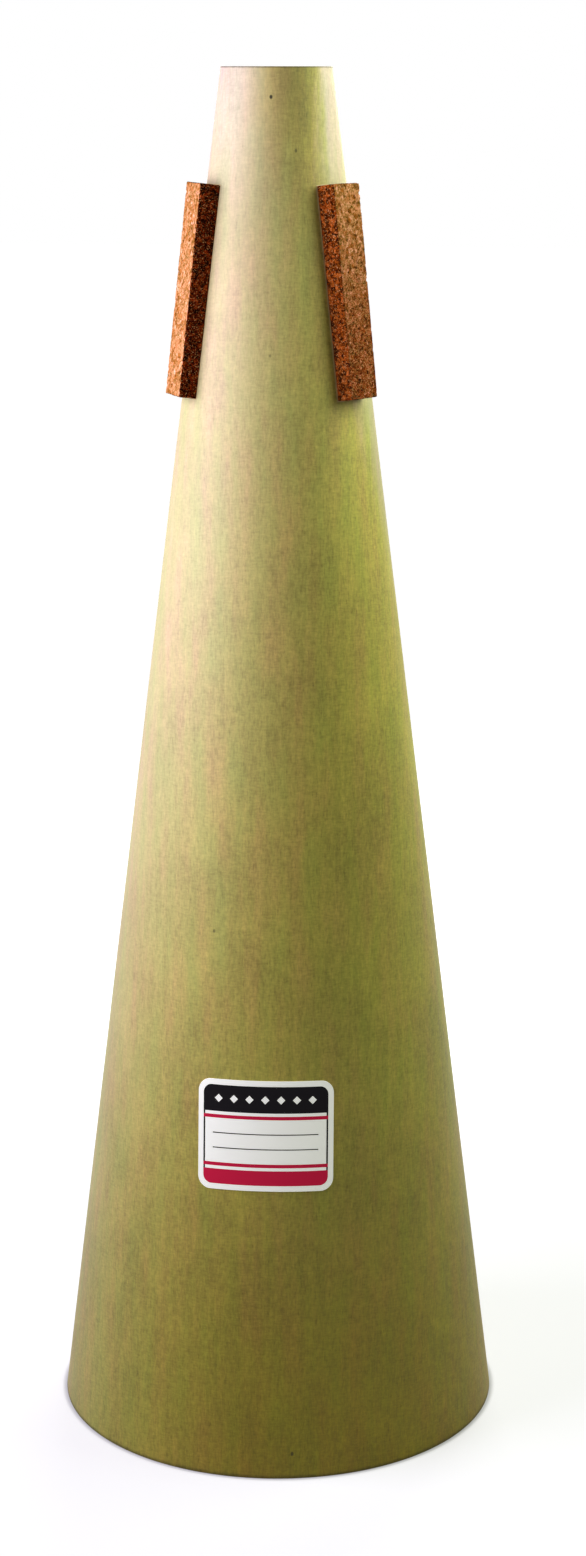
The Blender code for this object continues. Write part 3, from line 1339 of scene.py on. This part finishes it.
@dataclass
class WrappedPatch:
    """A thin patch wrapped on the cone: paper, or a film of glue."""

    RAGGED_LENGTH = 1.1 * MM
    RAGGED_FROM = 0.7
    RAGGED_POWER = 12.0
    SWELL_LENGTH = 9 * MM
    THINNEST = 0.12
    name: str
    azimuth: float
    middle: float
    width: float
    height: float
    lift: float
    thickness: float
    corner_radius: float = 0.0
    edge_slope: float = 0.0
    waver: float = 0.0
    swell: float = 0.0
    columns: int = 64
    rows: int = 64
    seed: float = 0.0

    @staticmethod
    def wrapped_patch(graph: GeometryGraph) -> bpy.types.NodeTree:
        """Wraps a flat patch with round corners on the cone.

        The grid is denser near the edges, where the outline and the slope are.

        Args:
            graph: The tree.

        Returns:
            The tree, which gives a closed thin shell, with its flat UV map.
        """
        slab = graph.node("GeometryNodeMeshCube", {}, {
            "Size": (2.0, 2.0, 1.0),
            "Vertices X": graph.given("Columns"),
            "Vertices Y": graph.given("Rows"),
            "Vertices Z": 2,
        })
        across, along, up = graph.parts(graph.position())
        half_width = graph.given("Width") / 2
        half_height = graph.given("Height") / 2
        y = (along * (math.pi / 2)).sine() * half_height
        corner = graph.given("Corner Radius")
        past = (abs(y) - (half_height - corner)).at_least(0.0)
        inset = corner - (corner * corner - past * past).at_least(0.0).root()
        x = (across * (math.pi / 2)).sine() * (half_width - inset)
        seeded = graph.vector(x, y, graph.given("Seed"))
        ragged = graph.noise(seeded, 1 / WrappedPatch.RAGGED_LENGTH) - 0.5
        edge_x = abs(across)
        edge_y = abs(along)
        near_edge = edge_x.at_least(edge_y).power(WrappedPatch.RAGGED_POWER)
        grow = ragged * 2 * graph.given("Waver") * near_edge
        start = WrappedPatch.RAGGED_FROM
        x = x + grow * across.sign() * edge_x.step(start, 1.0)
        y = y + grow * along.sign() * edge_y.step(start, 1.0)
        from_edge = (half_width - abs(x)).at_most(half_height - abs(y))
        slope = graph.given("Edge Slope")
        thin = (from_edge / slope.at_least(0.001 * MM)).at_most(1.0)
        thin = thin.at_least(WrappedPatch.THINNEST)
        full = 1.0 - slope.above(0.0) * (1.0 - thin.root())
        puff = graph.noise(seeded, 1 / WrappedPatch.SWELL_LENGTH) - 0.5
        body = (up + 0.5) * graph.given("Thickness") * full
        lift = graph.given("Lift") + body + puff * graph.given("Swell")
        flat = graph.vector(x, y)
        mesh = graph.stored(graph.out(slab, "Mesh"), "sheet", "FLOAT2", "CORNER", flat)
        mesh = graph.moved(mesh, position=graph.wrapped(x, graph.given("Middle") + y, lift))
        return graph.close(mesh)

    def build(self, finish: Finish) -> bpy.types.Object:
        """Makes the patch.

        Args:
            finish: The finish that it is dressed with.

        Returns:
            The object.
        """
        values = {**numbers(self), "Material": finish.material()}
        mesh = grown(self.name, self.wrapped_patch, values)
        mesh.set_sharp_from_angle(angle=SHARP_ANGLE)
        return add_object(self.name, mesh)


class CorkPlace(Enum):
    """Where the three cork strips stand, by their azimuth in degrees."""

    RIGHT = 60
    REAR = 180
    LEFT = 300


@dataclass
class CorkStrip:
    """One granulated cork strip, saddled on the wall, on its film of glue."""

    place: CorkPlace
    width: float = 12.3 * MM
    length: float = 62.6 * MM
    thickness_at_mouth_end: float = 5.2 * MM
    thickness_at_base_end: float = 4.7 * MM
    below_mouth: float = 34 * MM
    glue_line: float = 0.3 * MM
    seat_gap: float = 0.13 * MM
    rounding: float = 0.32 * MM
    granule: float = 1.10 * MM
    relief: float = 0.055 * MM
    pit_depth: float = 0.30 * MM
    crumble: float = 0.16 * MM
    spacing: float = 0.23 * MM
    film_margin: float = 0.25 * MM
    film_thickness: float = 0.12 * MM
    film_depth: float = 0.04 * MM
    film_edge: float = 0.3 * MM
    film_waver: float = 0.22 * MM
    seed_step: float = 1.37
    # How much shade is painted on each strip's outer face and on its sides.
    face_soiling: dict[CorkPlace, float] = field(default_factory=lambda: {
        CorkPlace.RIGHT: 1.00, CorkPlace.REAR: 0.50, CorkPlace.LEFT: 0.05})
    side_soiling: dict[CorkPlace, float] = field(default_factory=lambda: {
        CorkPlace.RIGHT: 0.05, CorkPlace.REAR: 0.30, CorkPlace.LEFT: 1.00})

    @property
    def azimuth(self) -> float:
        """The strip's azimuth in radians."""
        return math.radians(self.place.value)

    @property
    def middle(self) -> float:
        """How far up the wall the strip's middle is."""
        return CONE.slant_length - self.below_mouth - self.length / 2

    @classmethod
    def granulated_bar(cls, graph: GeometryGraph) -> bpy.types.NodeTree:
        """Makes a strip out of granules.

        The bar is shaped on the flat, with x across it, y up the wall and its level from the
        saddle to the outer face. Its granules, pits and crumbled arrises are kept as a depth,
        by which its points are moved once the bar is in its place.

        Args:
            graph: The tree.

        Returns:
            The tree.
        """
        size = graph.vector(
            graph.given("Width"), graph.given("Length"), graph.given("Thickness At Mouth End"))
        block = graph.node("GeometryNodeMeshCube", {}, {
            "Size": size,
            "Vertices X": graph.given("Columns"),
            "Vertices Y": graph.given("Rows"),
            "Vertices Z": graph.given("Layers"),
        })
        way, rounded = cls.rounded_block(graph, size)
        shaped, level = cls.saddled(graph, rounded)
        _, _, facing_out = graph.parts(way)
        sanded = facing_out.step(0.75, 0.97)
        granules = cls.granules(graph, shaped)
        mesh = graph.stored(graph.out(block, "Mesh"), "granules", "FLOAT_VECTOR", "POINT", granules)
        mesh = graph.stored(mesh, "sanded", "FLOAT", "POINT", sanded)
        _, up_bar, _ = graph.parts(shaped)
        # Painted shade: darker towards the base end of the outer face, and on the knife-cut sides,
        # by amounts given for each strip.
        toward_base = (up_bar / graph.given("Length")).step(0.80, -0.35)
        soiled = graph.given("Face Soiling") * toward_base * sanded
        soiled = soiled + graph.given("Side Soiling") * (1.0 - sanded)
        mesh = graph.stored(mesh, "soiled", "FLOAT", "POINT", soiled)
        depth = cls.depth(graph, size, granules, sanded, level)
        mesh = graph.stored(mesh, "depth", "FLOAT", "POINT", depth)
        x, y, z = graph.parts(shaped)
        placed = graph.given("Centre")
        for way_name, distance in (("Across", x), ("Up", y), ("Out", z)):
            step = graph.scaled(graph.given(way_name), distance)
            placed = graph.vector_math("ADD", placed, step)
        mesh = graph.moved(mesh, position=placed)
        cut_in = graph.scaled(graph.normal(), -graph.kept("depth"))
        return graph.close(graph.moved(mesh, offset=cut_in))

    @staticmethod
    def rounded_block(graph: GeometryGraph, size: Field) -> tuple[Field, Field]:
        """Rounds the arrises of the block.

        Args:
            graph: The tree.
            size: The block's size.

        Returns:
            Which way each point faces, and its rounded place.
        """
        rounding = graph.given("Rounding")
        start = graph.position()
        inner = graph.vector_math(
            "SUBTRACT", graph.scaled(size, 0.5), graph.vector(rounding, rounding, rounding))
        core = graph.vector_math("MAXIMUM", start, graph.scaled(inner, -1.0))
        core = graph.vector_math("MINIMUM", core, inner)
        way = graph.vector_math("NORMALIZE", graph.vector_math("SUBTRACT", start, core))
        return way, graph.vector_math("ADD", core, graph.scaled(way, rounding))

    @staticmethod
    def saddled(graph: GeometryGraph, rounded: Field) -> tuple[Field, Field]:
        """Fits the bar between the curved wall and its tapered outer face.

        Args:
            graph: The tree.
            rounded: The rounded block's points.

        Returns:
            The bar's points, with z = 0 on the wall, and their level from 0 at the saddle to 1.
        """
        x, y, z = graph.parts(rounded)
        at_mouth = graph.given("Thickness At Mouth End")
        at_base = graph.given("Thickness At Base End")
        level = z / at_mouth + 0.5
        half_angle = graph.given("Half Angle")
        to_apex = graph.given("Base Radius") / half_angle.sine()
        bend = (to_apex - graph.given("Middle") - y) * half_angle.tangent()
        wall = (bend * bend - x * x).root() - bend
        foot = wall + graph.given("Seat Gap")
        head = at_base + (at_mouth - at_base) * (y / graph.given("Length") + 0.5)
        head = head + graph.given("Glue Line")
        return graph.vector(x, y, foot + (head - foot) * level), level

    @staticmethod
    def granules(graph: GeometryGraph, shaped: Field) -> Field:
        """The place in the cork's own cells, one unit to a granule, bent so that none is regular.

        Args:
            graph: The tree.
            shaped: The bar's points.

        Returns:
            The place that the mesh and the material both read the cells at.
        """
        seed = graph.vector(graph.given("Seed"), 0.0, 0.0)
        place = graph.vector_math(
            "ADD", graph.scaled(shaped, 1.0 / graph.given("Granule")), seed)
        swirl = graph.node(
            "ShaderNodeTexNoise", {"noise_dimensions": "3D"},
            {"Vector": place, "Scale": 0.7, "Detail": 2.0})
        bend = graph.vector_math("SUBTRACT", graph.out(swirl, "Color"), (0.5, 0.5, 0.5))
        return graph.vector_math("ADD", place, graph.scaled(bend, 0.9))

    @staticmethod
    def depth(graph: GeometryGraph, size: Field, granules: Field, sanded: Field,
              level: Field) -> Field:
        """How far each point lies below the plain bar.

        Args:
            graph: The tree.
            size: The block's size.
            granules: The place in the cells.
            sanded: 1 on the sanded face.
            level: From 0 at the saddle to 1 at the outer face.

        Returns:
            The depth, which is 0 on the saddle.
        """
        pick, shade, kind = graph.parts(graph.cells(granules, "F1", "Color"))
        border = graph.cells(granules, "DISTANCE_TO_EDGE", "Distance")
        torn = 1.0 - sanded * 0.85
        relief = (shade - 0.35) * torn + border.step(0.15, 0.0) * (0.5 + torn * 0.5)
        missing = kind.step(0.94, 0.97) * border.step(0.02, 0.22)
        from_face = graph.vector_math(
            "SUBTRACT", graph.scaled(size, 0.5), graph.vector_math("ABSOLUTE", graph.position()))
        x, y, z = graph.parts(from_face)
        least = x.at_most(y).at_most(z)
        most = x.at_least(y).at_least(z)
        from_arris = x + y + z - least - most
        loose = pick.step(0.62, 0.80) * from_arris.step(0.95 * MM, 0.15 * MM)
        depth = (
            relief * graph.given("Relief")
            + missing * graph.given("Pit Depth")
            + loose * graph.given("Crumble") * border.step(0.0, 0.15)
        )
        return depth * level.step(0.03, 0.15)

    def build(self) -> list[bpy.types.Object]:
        """Makes and dresses the strip and its glue.

        Returns:
            The two pieces.
        """
        side = self.place.name.lower()
        out = spot(self.azimuth)
        up = Vector((0.0, 0.0, 1.0))
        sine = math.sin(CONE.half_angle)
        cosine = math.cos(CONE.half_angle)
        height = self.middle * cosine
        mesh = grown("cork_" + side, self.granulated_bar, {
            **numbers(self),
            "Middle": self.middle,
            # Painted shade on the outer face and on the sides.
            "Face Soiling": self.face_soiling[self.place],
            "Side Soiling": self.side_soiling[self.place],
            "Columns": round(self.width / self.spacing) + 1,
            "Rows": round(self.length / self.spacing) + 1,
            "Layers": round(self.thickness_at_mouth_end / self.spacing) + 1,
            "Centre": spot(self.azimuth, CONE.radius(height), height),
            "Across": Vector((math.cos(self.azimuth), math.sin(self.azimuth), 0.0)),
            "Up": up * cosine - out * sine,
            "Out": out * cosine + up * sine,
            "Seed": self.place.value * self.seed_step,
            "Material": CORK.material(),
        })
        strip = finished(add_object("cork_" + side, mesh), "cork", "cork_strip_" + side)
        film = WrappedPatch(
            name="cork_glue_" + side,
            azimuth=self.azimuth,
            middle=self.middle,
            width=self.width + 2 * self.film_margin,
            height=self.length + 2 * self.film_margin,
            lift=-self.film_depth,
            thickness=self.film_thickness + self.film_depth,
            edge_slope=self.film_edge,
            waver=self.film_waver,
            columns=48,
            rows=160,
            seed=float(self.place.value),
        )
        return [strip, finished(film.build(GLUE), None)]


@dataclass
class FrontLabel:
    """The blank printed label stuck on the front near the base."""

    width: float = 42 * MM
    height: float = 34 * MM
    corner_radius: float = 4 * MM
    lift: float = 0.09 * MM
    thickness: float = 0.16 * MM
    swell: float = 0.05 * MM
    centre_height: float = 106.5 * MM
    azimuth: float = math.radians(5)

    def build(self) -> list[bpy.types.Object]:
        """Makes and dresses the label.

        Returns:
            The label.
        """
        patch = WrappedPatch(
            name="blank_label",
            azimuth=self.azimuth,
            middle=self.centre_height / math.cos(CONE.half_angle),
            width=self.width,
            height=self.height,
            lift=self.lift,
            thickness=self.thickness,
            corner_radius=self.corner_radius,
            swell=self.swell,
            columns=84,
            rows=96,
            seed=2.0,
        )
        paper = PrintedPaper(
            name="printed_label_paper",
            width=self.width,
            height=self.height,
            corner_radius=self.corner_radius,
        )
        return [finished(patch.build(paper), "label_paper", "front_label")]


@dataclass
class BaseDisc:
    """The plywood disc let into the wide end, with a bead of glue round its underside."""

    recess: float = 1.5 * MM
    thickness: float = 4.0 * MM
    easing: float = 0.3 * MM
    wall: float = 1.5 * MM
    glue_line: float = 0.3 * MM
    bead: float = 0.9 * MM
    segments: int = 240
    ring_shares: tuple[float, ...] = (0.0, 0.33, 0.66, 0.97)
    arc_share: float = 0.3
    bead_waves: tuple[tuple[float, int, float], ...] = (
        (0.22, 7, 1.0), (0.14, 19, 2.0), (0.10, 43, 0.0))

    def build(self) -> list[bpy.types.Object]:
        """Makes and dresses the disc and its glue.

        Returns:
            The two pieces.
        """
        head = self.recess + self.thickness
        lift = -(self.wall + self.glue_line)
        foot_radius = CONE.radius(self.recess, lift)
        head_radius = CONE.radius(head, lift)
        easing = self.easing
        arc = easing * self.arc_share
        turned = [(foot_radius * share, self.recess) for share in self.ring_shares]
        turned += [
            (foot_radius - easing, self.recess),
            (foot_radius - arc, self.recess + arc),
            (foot_radius, self.recess + easing),
            (head_radius, head - easing),
            (head_radius - arc, head - arc),
            (head_radius - easing, head),
        ]
        turned += [(head_radius * share, head) for share in reversed(self.ring_shares)]
        mesh = skinned("disc_board", [
            [spot(turn, radius, height) for turn in (self.turns() if radius else (0.0,))]
            for radius, height in turned
        ])
        mesh.set_sharp_from_angle(angle=SHARP_ANGLE)
        mesh.materials.append(BOARD.material())
        mesh.materials.append(BOARD_EDGE.material())
        for polygon in mesh.polygons:
            if abs(polygon.normal.z) < 0.8:
                polygon.material_index = 1
        board = finished(add_object("disc_board", mesh), "disc_plywood", "base_disc")
        return [board, self.glue_bead()]

    def turns(self) -> list[float]:
        """The azimuths of the points round the disc."""
        return [math.tau * i / self.segments for i in range(self.segments)]

    def glue_bead(self) -> bpy.types.Object:
        """The uneven bead of glue in the corner between the disc and the wall, seen from below.

        Returns:
            The piece.
        """
        corner = CONE.radius(self.recess, -self.wall)
        rings = []
        for turn in self.turns():
            uneven = 1.0 + sum(
                size * math.sin(count * turn + shift) for size, count, shift in self.bead_waves)
            leg = self.bead * uneven
            rings.append([spot(turn, radius, self.recess + above) for radius, above in (
                (corner, self.glue_line),
                (corner, -leg * 0.8),
                (corner - leg * 0.30, -leg * 0.30),
                (corner - leg - self.glue_line, 0.0),
                (corner - self.glue_line, self.glue_line * 0.5),
            )])
        mesh = skinned("disc_glue_bead", rings, looped=True)
        mesh.materials.append(GLUE.material())
        return finished(add_object("disc_glue_bead", mesh), None)


@dataclass
class InsideWoodwork:
    """The strap over the seam and the hoop under the disc, whose solids are shown as they are."""

    finishes: dict[str, Finish] = field(
        default_factory=lambda: {"seam_strap": STRAP, "base_hoop": HOOP})

    def build(self) -> list[bpy.types.Object]:
        """Dresses the two solids.

        Returns:
            The solids.
        """
        dressed = []
        for node, finish in self.finishes.items():
            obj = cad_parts[node]
            for slot in obj.material_slots:
                slot.material = finish.material()
            LOG.info("%s: %s", node, finish.name)
            dressed.append(obj)
        return dressed


@dataclass(frozen=True)
class SoftLamp:
    """A square soft box that stands round the mute and looks at its axis."""

    name: str
    azimuth: float
    distance: float
    height: float
    size: float
    power: float
    tint: Colour = UNTINTED
    aim_height: float = 0.30

    def build(self) -> bpy.types.Object:
        """Sets the lamp up.

        Returns:
            The lamp.
        """
        data = bpy.data.lights.new(self.name, "AREA")
        data.shape = "SQUARE"
        data.size = self.size
        data.energy = self.power
        data.color = self.tint
        lamp = add_object(self.name, data)
        lamp.location = spot(self.azimuth, self.distance, self.height)
        towards = Vector((0, 0, self.aim_height)) - lamp.location
        lamp.rotation_euler = towards.to_track_quat("-Z", "Y").to_euler()
        lamp.visible_camera = False
        return lamp


@dataclass(frozen=True)
class PhotographCamera:
    """The camera of the photograph, found from the cone's outline and the corks' corners."""

    azimuth: float = math.radians(8.7)
    pitch_down: float = math.radians(14.08)
    place: Vector = field(default_factory=lambda: Vector((0.13501, -0.85036, 0.420)))
    focal_length_pixels: float = 2838.0
    picture_height_pixels: float = 1556.0
    sensor: float = 36.0

    def build(self) -> bpy.types.Object:
        """Makes it the scene's camera.

        Returns:
            The camera.
        """
        data = bpy.data.cameras.new("camera")
        data.sensor_width = self.sensor
        data.lens = self.focal_length_pixels / self.picture_height_pixels * self.sensor
        camera = add_object("camera", data)
        camera.location = self.place
        camera.rotation_euler = Euler((math.pi / 2 - self.pitch_down, 0.0, self.azimuth))
        bpy.context.scene.camera = camera
        return camera


@dataclass
class Studio:
    """A pale floor, a white surround and soft lamps."""

    floor_side: float = 12.0
    ambient: float = 0.06
    floor_colour: Colour = (0.50, 0.50, 0.50)
    floor_glow: float = 0.63
    floor_shadow_share: float = 0.90
    shadow_reach: float = 0.36
    contact_reach: float = 2.0 * MM
    # The glow inside the painted shadow ring round the foot.
    contact_shadow_glow: float = 0.22
    lamps: tuple[SoftLamp, ...] = (
        SoftLamp("left_lamp", math.radians(-62), 0.25, 0.36, 0.25, 1.52, (1.0, 0.93, 1.20)),
        SoftLamp("right_lamp", math.radians(100), 0.20, 0.46, 0.25, 1.00, (0.955, 1.02, 0.88)),
        SoftLamp("rear_lamp", math.radians(178), 0.75, 0.60, 0.45, 4.4, (0.97, 1.0, 0.93)),
    )

    def build(self) -> None:
        """Sets up the floor, the surround, the lamps and the colours' display."""
        self.build_surround()
        self.build_floor()
        for lamp in self.lamps:
            lamp.build()
        bpy.context.scene.view_settings.view_transform = "Standard"

    @staticmethod
    def sees_background(graph: Graph) -> Field:
        """1 for the rays that show the background: straight, mirrored or through glass.

        Args:
            graph: The node tree.

        Returns:
            The share of the background.
        """
        path = graph.node("ShaderNodeLightPath")
        seen = graph.out(path, "Is Camera Ray").at_least(graph.out(path, "Is Glossy Ray"))
        return seen.at_least(graph.out(path, "Is Transmission Ray"))

    def build_surround(self) -> None:
        """Makes the world: white to look at, and a low even light."""
        world = bpy.data.worlds.new("surround")
        world.use_nodes = True
        world.node_tree.nodes.clear()
        graph = Graph(world.node_tree)
        strength = self.ambient + self.sees_background(graph) * (1.0 - self.ambient)
        white = graph.node(
            "ShaderNodeBackground", {}, {"Color": (1.0, 1.0, 1.0, 1.0), "Strength": strength})
        graph.node("ShaderNodeOutputWorld", {}, {"Surface": graph.out(white)})
        bpy.context.scene.world = world

    def build_floor(self) -> bpy.types.Object:
        """Makes the floor, which looks white, keeps the mute's shadow and has a thin painted shadow
        round the mute's foot.

        Returns:
            The floor.
        """
        graph = ShaderGraph("pale_floor")
        shadow_tone = tuple(part * self.floor_shadow_share for part in self.floor_colour)
        plain, shaded = (
            graph.out(graph.node("ShaderNodeBsdfDiffuse", {}, {"Color": (*tone, 1.0)}))
            for tone in (self.floor_colour, shadow_tone))
        x, y, _ = graph.parts(graph.object_place())
        from_axis = (x * x + y * y).root()
        far = from_axis.step(self.shadow_reach * 0.4, self.shadow_reach)
        # Painted shadow: a thin ring round the base's foot where the floor glows less.
        clear = from_axis.step(CONE.base_radius, CONE.base_radius + self.contact_reach)
        near = self.contact_shadow_glow + clear * (self.floor_glow - self.contact_shadow_glow)
        glow = graph.out(graph.node("ShaderNodeEmission", {}, {
            "Color": (1.0, 1.0, 1.0, 1.0),
            "Strength": near + far * (1.0 - self.floor_glow),
        }))
        white = graph.out(graph.node("ShaderNodeAddShader", {}, {0: shaded, 1: glow}))
        mixed = graph.out(graph.node(
            "ShaderNodeMixShader", {}, {0: self.sees_background(graph), 1: plain, 2: white}))
        graph.node("ShaderNodeOutputMaterial", {}, {"Surface": mixed})
        bm = bmesh.new()
        bmesh.ops.create_grid(bm, x_segments=1, y_segments=1, size=self.floor_side / 2)
        mesh = bpy.data.meshes.new("floor")
        bm.to_mesh(mesh)
        bm.free()
        mesh.materials.append(graph.material)
        floor = add_object("floor", mesh)
        return floor


@dataclass
class BassTromboneMute:
    """The whole mute."""

    wall: RolledWall = field(default_factory=RolledWall)
    corks: list[CorkStrip] = field(
        default_factory=lambda: [CorkStrip(place) for place in CorkPlace])
    label: FrontLabel = field(default_factory=FrontLabel)
    disc: BaseDisc = field(default_factory=BaseDisc)
    woodwork: InsideWoodwork = field(default_factory=InsideWoodwork)

    def build(self) -> list[bpy.types.Object]:
        """Makes every piece, from the wall to the label.

        Returns:
            The pieces.
        """
        pieces = self.wall.build()
        for cork in self.corks:
            pieces += cork.build()
        pieces += self.label.build()
        pieces += self.disc.build()
        pieces += self.woodwork.build()
        return pieces


def main() -> None:
    """Builds the mute and its studio."""
    logging.basicConfig(level=logging.INFO, format="%(name)s: %(message)s")
    pieces = BassTromboneMute().build()
    Studio().build()
    PhotographCamera().build()
    LOG.info("%d pieces", len(pieces))


if __name__ == "__main__":
    main()
